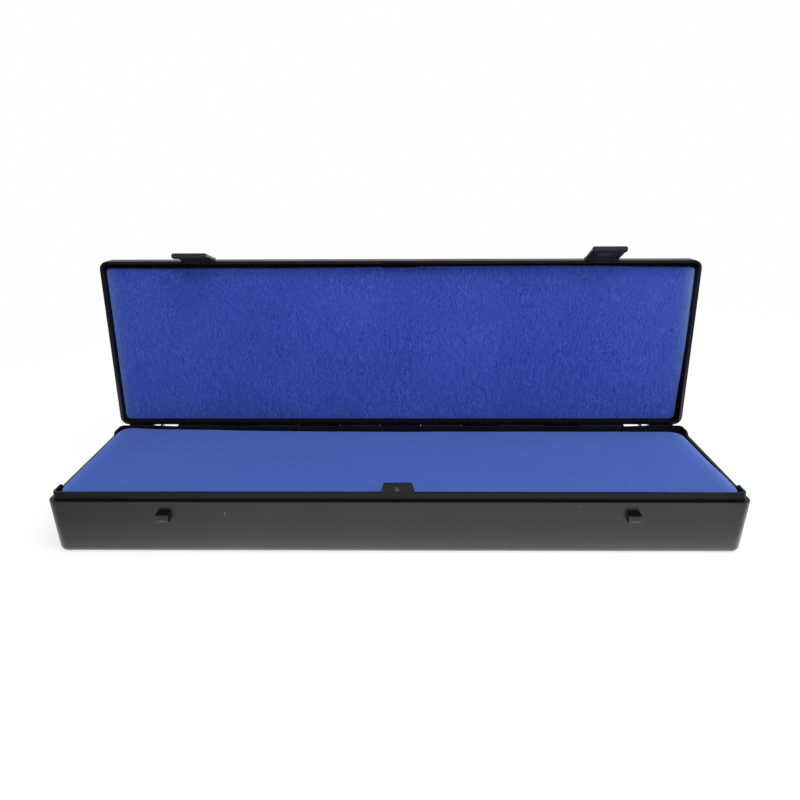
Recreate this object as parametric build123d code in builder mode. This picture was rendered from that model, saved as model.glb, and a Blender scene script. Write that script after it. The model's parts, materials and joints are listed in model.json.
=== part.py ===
from build123d import *
from math import cos, hypot, radians, sin, tan
import os

# Long moulded instrument case for inside and outside micrometers, shown open.
# Millimetres, +Z up, +X to the right, the latches face -Y.  The origin is the
# centre of the tray's flat underside.  Everything on the lid and the latches is
# drawn where it lies with the case shut, and its planes are then swung open.

# ---------------------------------------------------------------- case outline
CASE_LENGTH = 420.0          # over the seam, left to right
CASE_DEPTH = 123.0           # over the seam, front to back
CORNER_RADIUS = 6.0          # upright corners
EDGE_RADIUS = 4.0            # tray's bottom edge and lid's top edge
WALL_DRAFT = 3.4             # degrees, outer walls of both shells
SEAM_GAP = 0.2               # between the shut lid's rim and the tray's ledge

# ------------------------------------------------------------------ tray
BASE_HEIGHT = 35.0           # underside to ledge
FLOOR_THICKNESS = 2.4
LEDGE_WIDTH = 2.6            # flat shelf that the lid's rim sits over
LEDGE_ROUND = 0.4            # its outer edge
LIP_THICKNESS = 1.5
LIP_HEIGHT = 5.0             # above the ledge, at the front and round the corners
LIP_DRAFT = 2.0              # degrees
LIP_TOP_ROUND = 0.5
SIDE_LIP_HEIGHT = 2.0        # the lip is cut down along both short sides
LIP_RETURN = 18.0            # tall lip's reach along a short side, at its foot
LIP_RETURN_RAMP = 3.5        # length of the slope at its end
HINGE_LIP_DROP = 1.0         # the lip is a little lower along the hinge
HINGE_LIP_INSET = 49.0       # ends of that stretch from the case's ends
HINGE_LIP_RAMP = 24.0        # length of the slope outside each of them
CAVITY_DRAFT = 1.0           # degrees

# ---------------------------------------------------- centre snap on the front lip
TAB_FOOT_WIDTH = 20.4
TAB_TOP_WIDTH = 16.8
TAB_RISE = 5.8               # above the lip
TAB_CORNER = 1.2
PIP_RADIUS = 1.3
PIP_PROUD = 0.5
PIP_ROUND = 0.4
PIP_ABOVE_LIP = 1.4

# ------------------------------------------------------------------ lid
LID_HEIGHT = 14.0
LID_WALL = 2.2
RIM_ROUND = 0.5
SNAP_POCKET_DEPTH = 0.9      # relief in the front wall for the tab
SNAP_POCKET_MARGIN = 1.8     # round the tab

# ------------------------------------------------------------------ hinge
HINGE_BEHIND = 4.0           # axis behind the shells' back walls
HINGE_BELOW = 1.8            # axis below the ledge
HINGE_INSET = 42.8           # hinge's ends from the case's ends
KNUCKLE_COUNT = 11           # odd: the tray has one more than the lid
KNUCKLE_RADIUS = 3.8
KNUCKLE_GAP = 0.2            # end play between neighbours
HINGE_PIN_DIAMETER = 2.5
RUNNING_CLEARANCE = 0.05     # radial, pins in their holes
ARM_ANGLE = 50.0             # where the lid's knuckle arm leaves the barrel
LID_OPEN_ANGLE = 87.5        # the lid rests on its stops here
STOP_GAP = 0.12
STOP_REACH = 5.0             # stop surface, along the lid's back wall
STOP_RIB_WIDTH = 1.6
STOP_RIB_INSET = 30.5        # slim stop ribs from the case's ends
END_WEB_WIDTH = 18.5         # broad stop webs, at the ends of the straight back wall

# ------------------------------------------------------------------ latches
LATCH_INSET = 69.7           # latch centres from the case's ends
LATCH_WIDTH = 23.4
LATCH_LENGTH = 25.0          # pivot to free end
LATCH_THICKNESS = 2.0
LATCH_SLOPE = 7.0            # degrees, the plate stands off towards its free end
LATCH_EDGE_ROUND = 1.3
GRIP_THICKNESS = 3.6         # thickened free end
GRIP_HEIGHT = 3.5
GRIP_END_ROUND = 1.2
PIVOT_PROUD = 0.6            # pivot in front of the lid's wall
PIVOT_RISE = 1.9             # pivot above the lid's rim
LATCH_BARREL_RADIUS = 1.6
LATCH_PIN_DIAMETER = 1.2
LATCH_CLEARANCE = 0.2        # latch to lid, all round
LUG_WIDTH = 10.0             # lid's pivot lug, between the latch's two knuckles
LATCH_LEFT_ANGLE = 10.0      # swing out of the shut position, as they lie at rest
LATCH_RIGHT_ANGLE = 19.5

# ------------------------------------------------------------------ catch hooks
HOOK_WIDTH = 7.7
HOOK_TOP = 6.9               # below the ledge
HOOK_HEIGHT = 5.1
HOOK_PROUD = 4.3
HOOK_ROUND = 0.45
HOOK_ROOT = 1.5              # how far a hook reaches into the wall
WINDOW_SIDE_CLEARANCE = 0.8
WINDOW_TOP_CLEARANCE = 0.6
WINDOW_SWING_CLEARANCE = 0.12

# ------------------------------------------------------------------ foam
FOAM_GAP = 0.3               # foam to plastic, at the sides
BASE_FOAM_RISE = 1.5         # foam top above the ledge
FOAM_CORNER = 5.0
FOAM_EDGE_ROUND = 1.5
ADHESIVE_THICKNESS = 0.3
ADHESIVE_INSET = 4.0
LID_FOAM_CLEARANCE = 0.5     # shut lid's foam above the tray's lip
FOAM_NOTCH_MARGIN = 2.0      # round the tab, in the lid's foam

# --------------------------------------------------------------- derived places
FRONT = -CASE_DEPTH / 2
BACK = CASE_DEPTH / 2
RIM_Z = BASE_HEIGHT + SEAM_GAP
LIP_TOP = BASE_HEIGHT + LIP_HEIGHT
LIP_CORNER = CORNER_RADIUS - LEDGE_WIDTH
CAVITY_INSET = LEDGE_WIDTH + LIP_THICKNESS
LIP_LEAN = LIP_HEIGHT * tan(radians(LIP_DRAFT))
HINGE_LENGTH = CASE_LENGTH - 2 * HINGE_INSET
HINGE_Y = BACK + HINGE_BEHIND
HINGE_Z = BASE_HEIGHT - HINGE_BELOW
HINGE_BORE = HINGE_PIN_DIAMETER / 2 + RUNNING_CLEARANCE
STOP_RIB_X = CASE_LENGTH / 2 - STOP_RIB_INSET
END_WEB_X = (CASE_LENGTH - END_WEB_WIDTH) / 2 - CORNER_RADIUS
LATCH_X = CASE_LENGTH / 2 - LATCH_INSET
PIVOT_Y = FRONT - PIVOT_PROUD
PIVOT_Z = RIM_Z + PIVOT_RISE
LATCH_BORE = LATCH_PIN_DIAMETER / 2 + RUNNING_CLEARANCE
TAB_TOP = LIP_TOP + TAB_RISE
TAB_FACE_Y = FRONT + LEDGE_WIDTH + LIP_LEAN
TAB_THICKNESS = LIP_THICKNESS - LIP_LEAN
HOOK_TOP_Z = BASE_HEIGHT - HOOK_TOP
HOOK_FOOT_DROP = PIVOT_Z - HOOK_TOP_Z + HOOK_HEIGHT
WINDOW_TOP = PIVOT_Z - HOOK_TOP_Z - WINDOW_TOP_CLEARANCE
WINDOW_BOTTOM = hypot(HOOK_PROUD - PIVOT_PROUD, HOOK_FOOT_DROP) + WINDOW_SWING_CLEARANCE
BASE_FOAM_SEAT = FLOOR_THICKNESS + ADHESIVE_THICKNESS
BASE_FOAM_TOP = BASE_HEIGHT + BASE_FOAM_RISE
LID_FOAM_FACE = LIP_TOP + LID_FOAM_CLEARANCE
LID_FOAM_SEAT = RIM_Z + LID_HEIGHT - LID_WALL - ADHESIVE_THICKNESS

OPEN = (
    Pos(0, HINGE_Y, HINGE_Z)
    * Rot(X=-LID_OPEN_ANGLE)
    * Pos(0, -HINGE_Y, -HINGE_Z)
)
LID_AXIS = Axis((0, 0, 0), Plane(OPEN).z_dir)


def on_lid(plane):
    """The plane of a shut-lid sketch, carried round to the open lid."""
    return Plane(OPEN * plane.location)


def on_latch(plane, angle):
    """The same for a latch, which is swung out by its own angle too."""
    swing = Pos(0, PIVOT_Y, PIVOT_Z) * Rot(X=-angle) * Pos(0, -PIVOT_Y, -PIVOT_Z)
    return Plane(OPEN * swing * plane.location)


def opened(y, z):
    """Where a (y, z) point of the shut lid lies on the open lid."""
    moved = (OPEN * Pos(0, y, z)).position
    return moved.Y, moved.Z


def upright(solid):
    """Edges of a drafted block that run up its corners."""
    return solid.edges().filter_by(lambda edge: abs(edge.tangent_at(0.5).Z) > 0.8)


def along_lid(solid):
    """The same for a block drawn on the open lid."""
    return solid.edges().filter_by(
        lambda edge: abs(edge.tangent_at(0.5).dot(LID_AXIS.direction)) > 0.8
    )


def sized(inset):
    """Length and depth of the case outline, drawn in by an inset."""
    return CASE_LENGTH - 2 * inset, CASE_DEPTH - 2 * inset


def cavity_inset(z):
    """Inset of the tray's inner wall at a height; it leans in towards the floor."""
    return CAVITY_INSET + (LIP_TOP - z) * tan(radians(CAVITY_DRAFT))


def hollow_inset(z):
    """Inset of the lid's inner wall at a height of the shut lid."""
    return LID_WALL + (z - RIM_Z) * tan(radians(WALL_DRAFT))


def wall_back(z):
    """The lid's back wall at a height of the shut lid; it leans in upwards."""
    return BACK - (z - RIM_Z) * tan(radians(WALL_DRAFT))


def stop_outline():
    """Web behind the tray, from its wall to a stop just under the open lid."""
    near_z = RIM_Z + 2 * RIM_ROUND
    far_z = RIM_Z + STOP_REACH
    near = opened(wall_back(near_z) + STOP_GAP, near_z)
    far = opened(wall_back(far_z) + STOP_GAP, far_z)
    inside_y = BACK - CAVITY_INSET / 2
    top_z = BASE_HEIGHT - LEDGE_ROUND
    return [
        (inside_y, top_z),
        (HINGE_Y, top_z),
        near,
        far,
        (far[0], far[1] - KNUCKLE_RADIUS / 2),
        (HINGE_Y + KNUCKLE_RADIUS / 2, HINGE_Z - KNUCKLE_RADIUS),
        (inside_y, HINGE_Z - 3 * KNUCKLE_RADIUS),
    ]


def arm_outline():
    """Arm from the lid's back wall to the barrel, tangent to its outer side."""
    turn = radians(ARM_ANGLE)
    touch_y = HINGE_Y + KNUCKLE_RADIUS * cos(turn)
    touch_z = HINGE_Z + KNUCKLE_RADIUS * sin(turn)
    inside_y = BACK - LID_WALL / 2
    foot_z = RIM_Z + RIM_ROUND
    return [
        (inside_y, foot_z),
        (inside_y, touch_z + (touch_y - inside_y) / tan(turn)),
        (touch_y, touch_z),
        (HINGE_Y, HINGE_Z),
        (HINGE_Y, foot_z),
    ]


def knuckle_spans(first):
    """Left end of every second knuckle, and a knuckle's length."""
    pitch = HINGE_LENGTH / KNUCKLE_COUNT
    starts = [
        -HINGE_LENGTH / 2 + pitch * index + KNUCKLE_GAP / 2
        for index in range(first, KNUCKLE_COUNT, 2)
    ]
    return starts, pitch - KNUCKLE_GAP


# ====================================================================== base tray
with BuildPart() as tray_block:
    with BuildSketch(Plane.XY.offset(BASE_HEIGHT)):
        Rectangle(*sized(0))
    extrude(amount=-BASE_HEIGHT, taper=WALL_DRAFT)
    fillet(upright(tray_block), CORNER_RADIUS)
    fillet(tray_block.faces().sort_by(Axis.Z)[0].edges(), EDGE_RADIUS)
    fillet(tray_block.faces().sort_by(Axis.Z)[-1].edges(), LEDGE_ROUND)

with BuildPart() as lip_block:
    with BuildSketch(Plane.XY.offset(BASE_HEIGHT)):
        Rectangle(*sized(LEDGE_WIDTH))
    extrude(amount=LIP_HEIGHT, taper=LIP_DRAFT)
    fillet(upright(lip_block), LIP_CORNER)
    fillet(lip_block.faces().sort_by(Axis.Z)[-1].edges(), LIP_TOP_ROUND)

with BuildPart() as cavity_block:
    with BuildSketch(Plane.XY.offset(LIP_TOP)):
        Rectangle(*sized(CAVITY_INSET))
    extrude(amount=-(LIP_TOP - FLOOR_THICKNESS), taper=CAVITY_DRAFT)
    fillet(upright(cavity_block), LIP_CORNER - LIP_THICKNESS / 2)

with BuildPart() as centre_tab:
    with BuildSketch(Plane.XZ.offset(-TAB_FACE_Y)):
        with BuildLine():
            Polyline(
                (-TAB_FOOT_WIDTH / 2, LIP_TOP),
                (-TAB_TOP_WIDTH / 2, TAB_TOP),
                (TAB_TOP_WIDTH / 2, TAB_TOP),
                (TAB_FOOT_WIDTH / 2, LIP_TOP),
                close=True,
            )
        make_face()
        with Locations((0, LIP_TOP - LIP_TOP_ROUND)):
            Rectangle(TAB_FOOT_WIDTH, 2 * LIP_TOP_ROUND)
    extrude(amount=-TAB_THICKNESS)
    fillet(centre_tab.edges().filter_by(Axis.Y).group_by(Axis.Z)[-1], TAB_CORNER)
    with BuildSketch(Plane.XZ.offset(-TAB_FACE_Y)):
        with Locations((0, LIP_TOP + PIP_ABOVE_LIP)):
            Circle(PIP_RADIUS)
    extrude(amount=PIP_PROUD)
    pip_rim = centre_tab.faces().sort_by(Axis.Y)[0].edges()
    fillet(pip_rim, PIP_ROUND)

with BuildPart() as catch_hook:
    with BuildSketch(Plane.XZ.offset(HOOK_PROUD - FRONT)):
        with Locations((0, HOOK_TOP_Z - HOOK_HEIGHT / 2)):
            Rectangle(HOOK_WIDTH, HOOK_HEIGHT)
    extrude(amount=-(HOOK_PROUD + HOOK_ROOT))
    fillet(catch_hook.faces().sort_by(Axis.Y)[0].edges(), HOOK_ROUND)

with BuildPart() as base_tray:
    add(tray_block.part)
    add(lip_block.part)
    add(cavity_block.part, mode=Mode.SUBTRACT)
    add(centre_tab.part)
    with Locations((-LATCH_X, 0, 0), (LATCH_X, 0, 0)):
        add(catch_hook.part)

    # The lip is cut down along the short sides and, less, along the hinge.
    with BuildSketch(Plane.YZ):
        side_low_y = BACK - LIP_RETURN
        side_high_y = side_low_y + LIP_RETURN_RAMP
        with BuildLine():
            Polyline(
                (-side_low_y, BASE_HEIGHT + SIDE_LIP_HEIGHT),
                (side_low_y, BASE_HEIGHT + SIDE_LIP_HEIGHT),
                (side_high_y, LIP_TOP),
                (-side_high_y, LIP_TOP),
                close=True,
            )
        make_face()
    extrude(amount=CASE_LENGTH / 2, both=True, mode=Mode.SUBTRACT)
    with BuildSketch(Plane.XZ.offset(-BACK)):
        low_x = CASE_LENGTH / 2 - HINGE_LIP_INSET
        high_x = low_x + HINGE_LIP_RAMP
        with BuildLine():
            Polyline(
                (-low_x, LIP_TOP - HINGE_LIP_DROP),
                (low_x, LIP_TOP - HINGE_LIP_DROP),
                (high_x, LIP_TOP),
                (-high_x, LIP_TOP),
                close=True,
            )
        make_face()
    extrude(amount=2 * CAVITY_INSET, mode=Mode.SUBTRACT)

    # Hinge knuckles, each on a web with a stop for the lid behind it, and outside
    # the hinge a slim stop rib and a broad stop web on either side.
    starts, knuckle_length = knuckle_spans(0)
    with BuildSketch(*[Plane.YZ.offset(start) for start in starts]):
        with BuildLine():
            Polyline(*stop_outline(), close=True)
        make_face()
        with Locations((HINGE_Y, HINGE_Z)):
            Circle(KNUCKLE_RADIUS)
    extrude(amount=knuckle_length)
    for stop_x, width in ((STOP_RIB_X, STOP_RIB_WIDTH), (END_WEB_X, END_WEB_WIDTH)):
        stop_starts = [side * stop_x - width / 2 for side in (-1, 1)]
        with BuildSketch(*[Plane.YZ.offset(start) for start in stop_starts]):
            with BuildLine():
                Polyline(*stop_outline(), close=True)
            make_face()
        extrude(amount=width)
    with BuildSketch(Plane.YZ.offset(-HINGE_LENGTH / 2)):
        with Locations((HINGE_Y, HINGE_Z)):
            Circle(HINGE_BORE)
    extrude(amount=HINGE_LENGTH, mode=Mode.SUBTRACT)

# ====================================================================== lid shell
with BuildPart() as lid_block:
    with BuildSketch(on_lid(Plane.XY.offset(RIM_Z))):
        Rectangle(*sized(0))
    extrude(amount=LID_HEIGHT, taper=WALL_DRAFT)
    fillet(along_lid(lid_block), CORNER_RADIUS)
    fillet(lid_block.faces().sort_by(LID_AXIS)[-1].edges(), EDGE_RADIUS)
    fillet(lid_block.faces().sort_by(LID_AXIS)[0].edges(), RIM_ROUND)

with BuildPart() as lid_hollow:
    with BuildSketch(on_lid(Plane.XY.offset(RIM_Z))):
        Rectangle(*sized(LID_WALL))
    extrude(amount=LID_HEIGHT - LID_WALL, taper=WALL_DRAFT)
    fillet(along_lid(lid_hollow), CORNER_RADIUS - LID_WALL)

with BuildPart() as lid_shell:
    add(lid_block.part)
    add(lid_hollow.part, mode=Mode.SUBTRACT)

    # Relief inside the front wall for the tray's centre tab and its pip.
    with BuildSketch(on_lid(Plane.XY.offset(RIM_Z))):
        with Locations((0, FRONT + LID_WALL)):
            Rectangle(TAB_FOOT_WIDTH + 2 * SNAP_POCKET_MARGIN, 2 * SNAP_POCKET_DEPTH)
    extrude(amount=TAB_TOP - RIM_Z + SNAP_POCKET_MARGIN / 2, mode=Mode.SUBTRACT)

    # Hinge knuckles on arms that come down from the back wall.
    starts, knuckle_length = knuckle_spans(1)
    with BuildSketch(*[on_lid(Plane.YZ.offset(start)) for start in starts]):
        with BuildLine():
            Polyline(*arm_outline(), close=True)
        make_face()
        with Locations((HINGE_Y, HINGE_Z)):
            Circle(KNUCKLE_RADIUS)
    extrude(amount=knuckle_length)
    with BuildSketch(on_lid(Plane.YZ.offset(-HINGE_LENGTH / 2))):
        with Locations((HINGE_Y, HINGE_Z)):
            Circle(HINGE_BORE)
    extrude(amount=HINGE_LENGTH, mode=Mode.SUBTRACT)

    # Each latch's two knuckles lie in notches at the rim, either side of a lug.
    notch_radius = LATCH_BARREL_RADIUS + LATCH_CLEARANCE
    notch_length = (LATCH_WIDTH - LUG_WIDTH) / 2 + LATCH_CLEARANCE
    notch_starts = [
        side * LATCH_X + edge
        for side in (-1, 1)
        for edge in (-LATCH_WIDTH / 2 - LATCH_CLEARANCE, LUG_WIDTH / 2)
    ]
    with BuildSketch(*[on_lid(Plane.YZ.offset(start)) for start in notch_starts]):
        with Locations((PIVOT_Y, PIVOT_Z)):
            Circle(notch_radius)
        with Locations((PIVOT_Y, RIM_Z)):
            Rectangle(2 * notch_radius, 2 * PIVOT_RISE)
    extrude(amount=notch_length, mode=Mode.SUBTRACT)
    lug_starts = [side * LATCH_X - LUG_WIDTH / 2 for side in (-1, 1)]
    with BuildSketch(*[on_lid(Plane.YZ.offset(start)) for start in lug_starts]):
        with Locations((PIVOT_Y, PIVOT_Z)):
            Circle(LATCH_BARREL_RADIUS)
    extrude(amount=LUG_WIDTH)
    with BuildSketch(*[on_lid(Plane.YZ.offset(start)) for start in lug_starts]):
        with Locations((PIVOT_Y, PIVOT_Z)):
            Circle(LATCH_BORE)
    extrude(amount=LUG_WIDTH, mode=Mode.SUBTRACT)

# ====================================================================== hinge pin
with BuildPart() as hinge_pin:
    with BuildSketch(Plane.YZ.offset(-HINGE_LENGTH / 2 + KNUCKLE_GAP)):
        with Locations((HINGE_Y, HINGE_Z)):
            Circle(HINGE_PIN_DIAMETER / 2)
    extrude(amount=HINGE_LENGTH - 2 * KNUCKLE_GAP)

# ====================================================================== foam pads
with BuildPart() as base_foam:
    with BuildSketch(Plane.XY.offset(BASE_FOAM_TOP)):
        Rectangle(*sized(cavity_inset(BASE_FOAM_TOP) + FOAM_GAP))
    extrude(amount=-(BASE_FOAM_TOP - BASE_FOAM_SEAT), taper=CAVITY_DRAFT)
    fillet(upright(base_foam), FOAM_CORNER)
    fillet(base_foam.faces().sort_by(Axis.Z)[-1].edges(), FOAM_EDGE_ROUND)

with BuildPart() as base_foam_adhesive:
    with BuildSketch(Plane.XY.offset(FLOOR_THICKNESS)):
        Rectangle(*sized(cavity_inset(FLOOR_THICKNESS) + ADHESIVE_INSET))
    extrude(amount=ADHESIVE_THICKNESS)

with BuildPart() as lid_foam:
    with BuildSketch(on_lid(Plane.XY.offset(LID_FOAM_FACE))):
        Rectangle(*sized(hollow_inset(LID_FOAM_FACE) + FOAM_GAP))
    extrude(amount=LID_FOAM_SEAT - LID_FOAM_FACE, taper=WALL_DRAFT)
    fillet(along_lid(lid_foam), FOAM_CORNER)
    fillet(lid_foam.faces().sort_by(LID_AXIS)[0].edges(), FOAM_EDGE_ROUND)

    # Cut out round the tray's centre tab.
    notch_depth = TAB_FACE_Y + LIP_THICKNESS + FOAM_NOTCH_MARGIN - FRONT
    with BuildSketch(on_lid(Plane.XY.offset(LID_FOAM_FACE))):
        with Locations((0, FRONT)):
            Rectangle(TAB_FOOT_WIDTH + 2 * FOAM_NOTCH_MARGIN, 2 * notch_depth)
    extrude(amount=LID_FOAM_SEAT - LID_FOAM_FACE, mode=Mode.SUBTRACT)

with BuildPart() as lid_foam_adhesive:
    with BuildSketch(on_lid(Plane.XY.offset(LID_FOAM_SEAT))):
        Rectangle(*sized(hollow_inset(LID_FOAM_SEAT) + ADHESIVE_INSET + LIP_THICKNESS))
    extrude(amount=ADHESIVE_THICKNESS)


# ====================================================================== latches
def latch(centre, angle):
    """One latch and its pin; the plate hangs from the pivot, then is swung out."""
    swing = angle + LATCH_SLOPE
    half_width = LATCH_WIDTH / 2
    face_y = PIVOT_Y - LATCH_BARREL_RADIUS
    free_z = PIVOT_Z - LATCH_LENGTH
    with BuildPart() as plate:
        # A bar with rounded edges and a rounded end, thinned on its inner side.
        with BuildSketch(on_latch(Plane.XY.offset(free_z), swing)):
            with Locations((centre, face_y + GRIP_THICKNESS / 2)):
                RectangleRounded(LATCH_WIDTH, GRIP_THICKNESS, LATCH_EDGE_ROUND)
        extrude(amount=LATCH_LENGTH)
        free_axis = Axis((centre, 0, 0), -on_latch(Plane.XY, swing).z_dir)
        fillet(plate.faces().sort_by(free_axis)[-1].edges(), GRIP_END_ROUND)
        with BuildSketch(on_latch(Plane.YZ.offset(centre - half_width), swing)):
            with Locations((face_y + LATCH_THICKNESS, free_z + GRIP_HEIGHT)):
                Rectangle(GRIP_THICKNESS, LATCH_LENGTH, align=(Align.MIN, Align.MIN))
        extrude(amount=LATCH_WIDTH, mode=Mode.SUBTRACT)
        with BuildSketch(on_latch(Plane.YZ.offset(centre - half_width), swing)):
            with Locations((PIVOT_Y, PIVOT_Z)):
                Circle(LATCH_BARREL_RADIUS)
        extrude(amount=LATCH_WIDTH)

        # Window for the tray's hook.
        with BuildSketch(on_latch(Plane.XZ.offset(-PIVOT_Y), swing)):
            with Locations((centre, PIVOT_Z - (WINDOW_TOP + WINDOW_BOTTOM) / 2)):
                Rectangle(HOOK_WIDTH + 2 * WINDOW_SIDE_CLEARANCE, WINDOW_BOTTOM - WINDOW_TOP)
        extrude(amount=GRIP_THICKNESS, both=True, mode=Mode.SUBTRACT)

        # Gap between the knuckles for the lid's lug, and the pin's hole.
        lug_gap = LUG_WIDTH + 2 * LATCH_CLEARANCE
        with BuildSketch(on_latch(Plane.YZ.offset(centre - lug_gap / 2), swing)):
            with Locations((PIVOT_Y, PIVOT_Z)):
                Circle(LATCH_BARREL_RADIUS + LATCH_CLEARANCE)
        extrude(amount=lug_gap, mode=Mode.SUBTRACT)
        with BuildSketch(on_latch(Plane.YZ.offset(centre - half_width), swing)):
            with Locations((PIVOT_Y, PIVOT_Z)):
                Circle(LATCH_BORE)
        extrude(amount=LATCH_WIDTH, mode=Mode.SUBTRACT)

    with BuildPart() as pin:
        pin_length = LATCH_WIDTH - 2 * LATCH_CLEARANCE
        with BuildSketch(on_latch(Plane.YZ.offset(centre - pin_length / 2), swing)):
            with Locations((PIVOT_Y, PIVOT_Z)):
                Circle(LATCH_PIN_DIAMETER / 2)
        extrude(amount=pin_length)
    return plate, pin


latch_left, latch_pin_left = latch(-LATCH_X, LATCH_LEFT_ANGLE)
latch_right, latch_pin_right = latch(LATCH_X, LATCH_RIGHT_ANGLE)

# ====================================================================== export
pieces = {
    "base_tray": base_tray,
    "base_foam": base_foam,
    "base_foam_adhesive": base_foam_adhesive,
    "hinge_pin": hinge_pin,
    "lid_shell": lid_shell,
    "lid_foam": lid_foam,
    "lid_foam_adhesive": lid_foam_adhesive,
    "latch_left": latch_left,
    "latch_right": latch_right,
    "latch_pin_left": latch_pin_left,
    "latch_pin_right": latch_pin_right,
}
os.makedirs("parts", exist_ok=True)
for name, piece in pieces.items():
    piece.part.label = name
    export_step(piece.part, f"parts/{name}.step")
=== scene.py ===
# %% [markdown]
# # A long instrument case, open
# A moulded case for long measuring tools: a tray and a lid of black ABS, a pad of
# blue foam in each, two swing latches and a steel pin hinge. The solid model gives
# the plastic and steel pieces their shape. This lesson gives every surface its
# finish and models the two foam pads, which a solid model can only block out.

# %% Load the solid model
import json
from math import exp, pi, radians, sin

import bpy
from mathutils import Matrix, Vector


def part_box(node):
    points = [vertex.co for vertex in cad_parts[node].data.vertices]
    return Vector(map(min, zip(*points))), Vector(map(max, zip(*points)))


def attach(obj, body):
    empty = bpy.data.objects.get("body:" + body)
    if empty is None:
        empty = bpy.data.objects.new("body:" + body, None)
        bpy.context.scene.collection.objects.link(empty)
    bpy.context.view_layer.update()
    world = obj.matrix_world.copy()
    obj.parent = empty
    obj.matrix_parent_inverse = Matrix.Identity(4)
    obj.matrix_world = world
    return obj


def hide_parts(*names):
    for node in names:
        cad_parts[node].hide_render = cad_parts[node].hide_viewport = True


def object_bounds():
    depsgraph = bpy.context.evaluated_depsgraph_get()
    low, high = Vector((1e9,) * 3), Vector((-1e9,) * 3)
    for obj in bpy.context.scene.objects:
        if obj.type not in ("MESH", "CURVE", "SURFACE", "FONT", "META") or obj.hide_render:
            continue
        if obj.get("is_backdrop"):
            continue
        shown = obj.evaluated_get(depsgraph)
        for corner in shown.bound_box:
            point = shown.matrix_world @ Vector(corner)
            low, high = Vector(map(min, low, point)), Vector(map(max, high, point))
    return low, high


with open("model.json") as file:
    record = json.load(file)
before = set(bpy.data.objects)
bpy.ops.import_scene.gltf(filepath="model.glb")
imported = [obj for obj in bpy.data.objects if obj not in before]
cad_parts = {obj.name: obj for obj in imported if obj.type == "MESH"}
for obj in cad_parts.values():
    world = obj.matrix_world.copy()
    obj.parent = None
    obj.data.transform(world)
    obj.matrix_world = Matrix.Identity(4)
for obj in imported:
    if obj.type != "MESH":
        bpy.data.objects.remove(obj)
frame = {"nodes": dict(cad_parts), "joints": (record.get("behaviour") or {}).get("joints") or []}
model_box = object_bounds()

MM = 0.001
nodes = frame["nodes"]
print("solid pieces:", ", ".join(sorted(nodes)))

# %% [markdown]
# ## Camera
# The case is seen from the front, a little from above, with a normal lens, so the
# lid and the tray both narrow with distance. A camera's own place and three turns
# say all of that, and nothing is shifted in the frame.

# %% Camera
CAMERA_PLACE = Vector((6.97, -479.78, 235.37)) * MM
CAMERA_LOOKS_DOWN = 18.08
CAMERA_TURNS_LEFT = 0.735
CAMERA_ROLLS = -0.245
LENS = 34.905

bpy.ops.object.camera_add()
camera = bpy.context.object
camera.data.lens = LENS
camera.matrix_world = (
    Matrix.Translation(CAMERA_PLACE)
    @ Matrix.Rotation(radians(CAMERA_TURNS_LEFT), 4, "Z")
    @ Matrix.Rotation(radians(90 - CAMERA_LOOKS_DOWN), 4, "X")
    @ Matrix.Rotation(radians(CAMERA_ROLLS), 4, "Z")
)
bpy.context.scene.camera = camera
bpy.context.scene.view_settings.view_transform = "Standard"
print("camera height", round(CAMERA_PLACE.z / MM), "mm, looking down", CAMERA_LOOKS_DOWN)

# %% [markdown]
# ## One way to add a node
# Every finish below is a small tree of nodes. A tree could be built by hand in the
# shader editor, but a script shows each value and can be run again. One helper adds
# a node with its settings and links, so each step of a finish reads as one line.
# Colours are written as sRGB hex, as a paint chart gives them, and turned to linear
# light. Patterns read Object coordinates, which are in metres and move with the
# piece, so a mark stays in its place when the lid swings.

# %% Node and colour helpers
def linear(hex_colour):
    """An sRGB hex colour as the linear RGBA that Blender's sockets hold."""
    parts = [int(hex_colour[place:place + 2], 16) / 255 for place in (1, 3, 5)]
    light = [part / 12.92 if part <= 0.04045 else ((part + 0.055) / 1.055) ** 2.4 for part in parts]
    return (*light, 1.0)


def new_material(name):
    """A material with only its shader, and the tree to build on."""
    material = bpy.data.materials.new(name)
    material.use_nodes = True
    tree = material.node_tree
    return material, tree, tree.nodes["Principled BSDF"]


def add_node(tree, kind, inputs=None, **fields):
    """Adds a node with its settings and links. An input takes a value, a socket, or
    another node, whose first output it then reads."""
    node = tree.nodes.new(kind)
    for field, value in fields.items():
        setattr(node, field, value)
    for key, value in (inputs or {}).items():
        if isinstance(value, bpy.types.Node):
            value = value.outputs[0]
        if isinstance(value, bpy.types.NodeSocket):
            tree.links.new(value, node.inputs[key])
        else:
            node.inputs[key].default_value = value
    return node

# %% [markdown]
# ## Which rays are which
# A ray that starts at the camera, one that a mirror finish sends and one that
# carries soft light can each be answered in its own way. Objects could be hidden
# from some rays instead, but that takes one object for each kind of answer. The
# table and the room both tell the rays apart, so the helper for it comes first.

# %% Kinds of rays
def ray_kinds(tree):
    """Sockets for rays that a mirror finish sends, and for rays that see white."""
    rays = add_node(tree, "ShaderNodeLightPath").outputs
    straight = add_node(
        tree, "ShaderNodeMath", {0: rays["Is Camera Ray"], 1: rays["Is Transmission Ray"]},
        operation="ADD", use_clamp=True,
    )
    return rays["Is Glossy Ray"], straight.outputs[0]

# %% [markdown]
# ## The table that the camera sees
# The case stands on a white table. A curved paper backdrop would hide the horizon,
# but one plane does it more simply: it is white with the case's soft shadow near
# the case, and fades to plain white farther out.

# %% Table as the camera sees it
TABLE_SIZE = 6.0
TABLE_GLOW = 0.70
SHADOWED_WHITE = "#A8A8A8"
FADE_FROM, FADE_TO = 0.45, 0.9


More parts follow.
